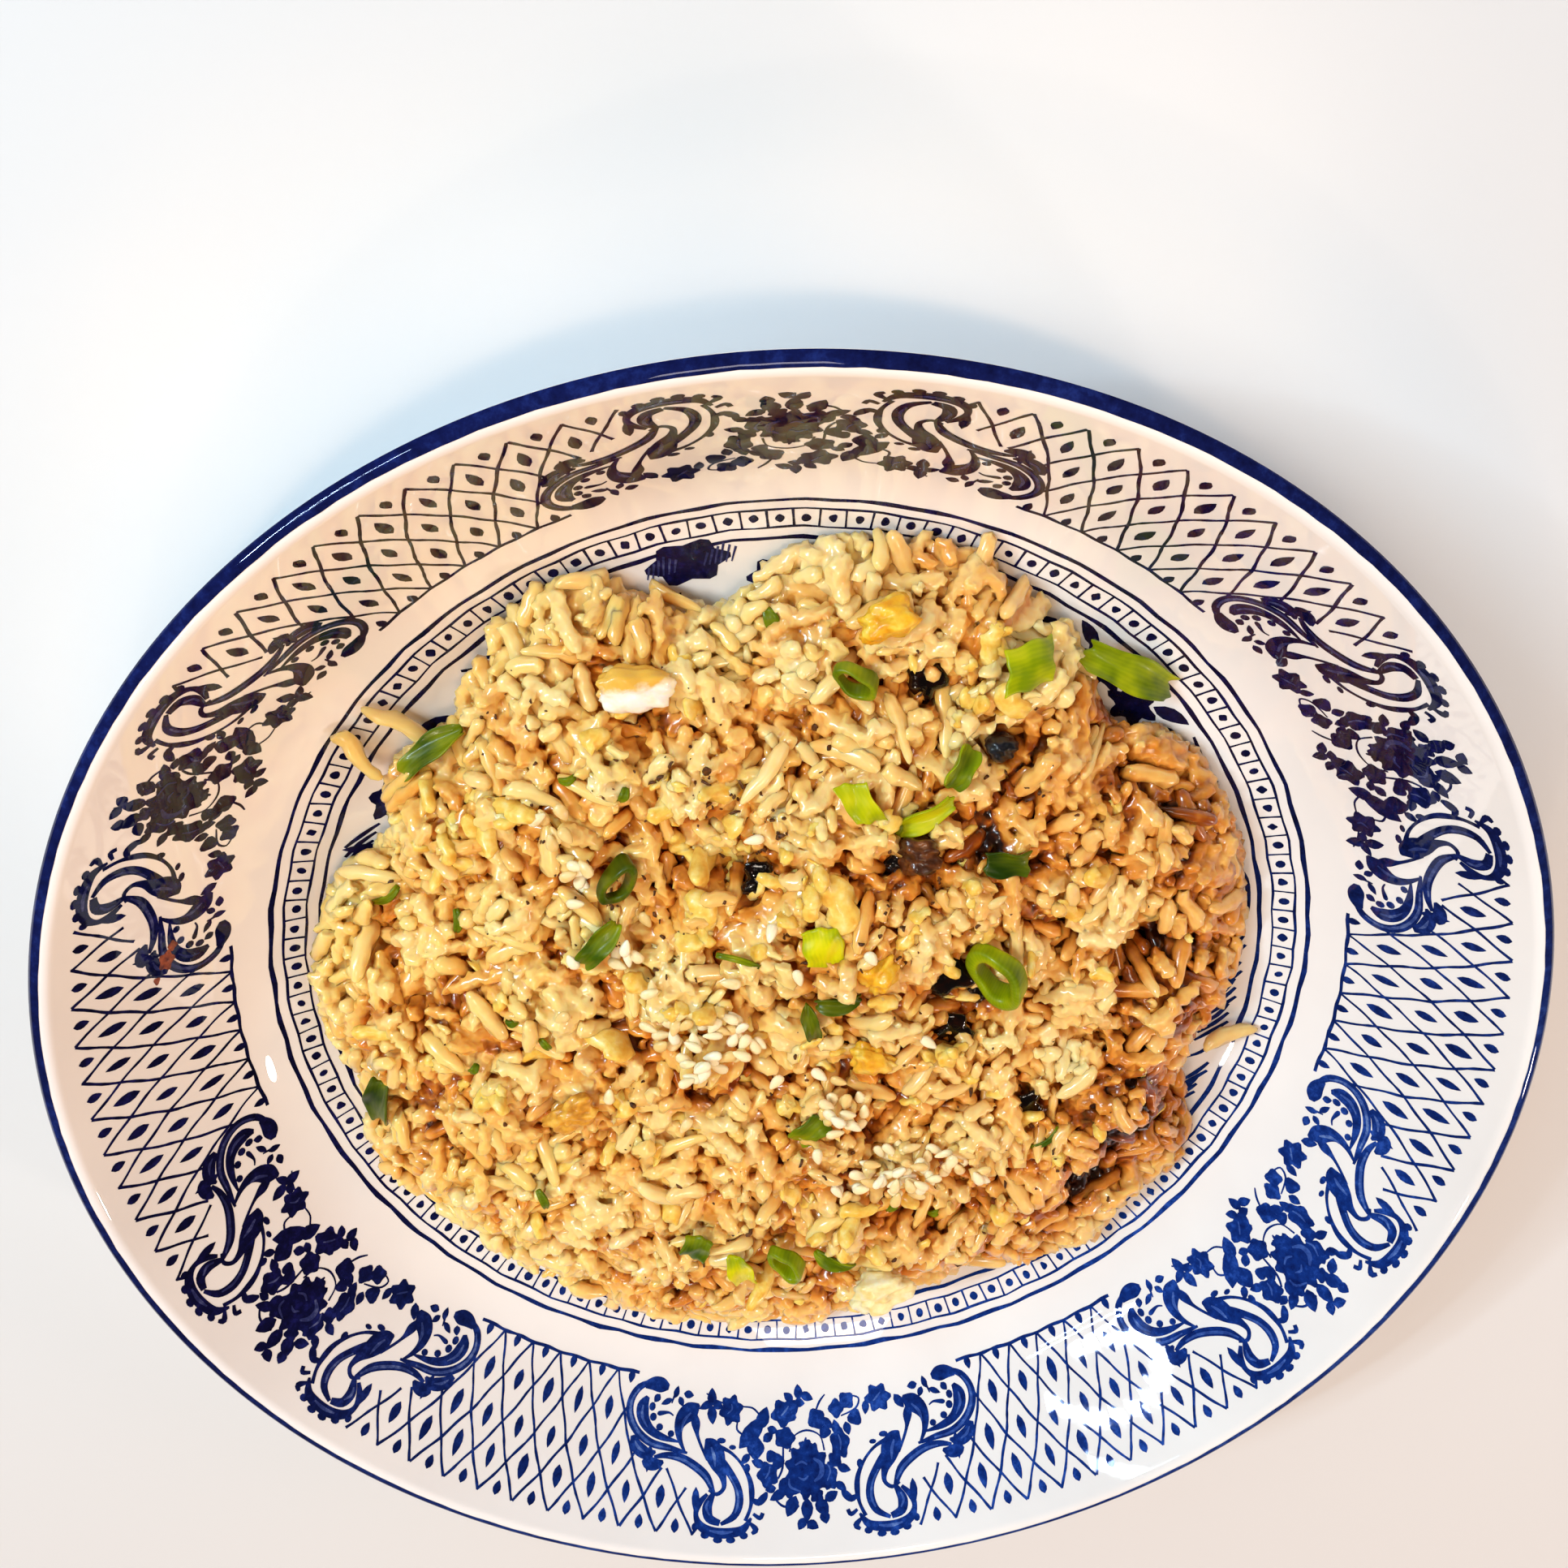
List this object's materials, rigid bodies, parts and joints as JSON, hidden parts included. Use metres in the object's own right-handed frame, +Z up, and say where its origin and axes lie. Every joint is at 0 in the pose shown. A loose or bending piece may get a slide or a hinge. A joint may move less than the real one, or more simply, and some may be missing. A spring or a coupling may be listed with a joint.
{
  "type": "fried rice plate",
  "caption": "Deep round glazed plate with a blue-and-white printed wall and a rolled lip, holding a heap of fried rice with spring onion, egg and sesame.",
  "frame": {"origin": "centre of the foot ring's underside, where the plate meets the table", "axes": "+Z up out of the plate; +Y towards the side from which the plate is looked at; +X to the picture's right"},
  "size_m": [0.2536, 0.254, 0.0448],
  "materials": {
    "glazed_ceramic": "glossy clear glaze over cobalt-blue print on white ceramic",
    "fried_rice": "oily cooked long rice, pale yellow to orange-brown, with sesame seeds",
    "spring_onion": "wet cut spring onion leaf",
    "egg": "soft scrambled egg curd",
    "browned_bit": "glossy browned lump",
    "black_bean": "wet black bean"
  },
  "bodies": {
    "root": {"black_bean": "black_bean", "brown_lump_upper": "browned_bit", "egg_brown_left": "egg", "egg_flake_lower": "egg", "egg_pale_lower": "egg", "egg_white": "egg", "egg_yolk_centre": "egg", "egg_yolk_upper": "egg", "onion_bright_lower": "spring_onion", "onion_chip_lower": "spring_onion", "onion_curl_centre": "spring_onion", "onion_curl_dark": "spring_onion", "onion_curl_lower": "spring_onion", "onion_curl_upper": "spring_onion", "onion_dark_edge": "spring_onion", "onion_dark_lower": "spring_onion", "onion_dark_right": "spring_onion", "onion_flake_middle": "spring_onion", "onion_leaf_long": "spring_onion", "onion_loop_left": "spring_onion", "onion_olive_left": "spring_onion", "onion_ring_big": "spring_onion", "onion_ring_lower": "spring_onion", "onion_square_centre": "spring_onion", "onion_square_upper": "spring_onion", "onion_strip_left": "spring_onion", "onion_strip_middle": "spring_onion", "onion_tube_small": "spring_onion", "plate": "glazed_ceramic", "rice_heap": "fried_rice"}
  },
  "joints": []
}
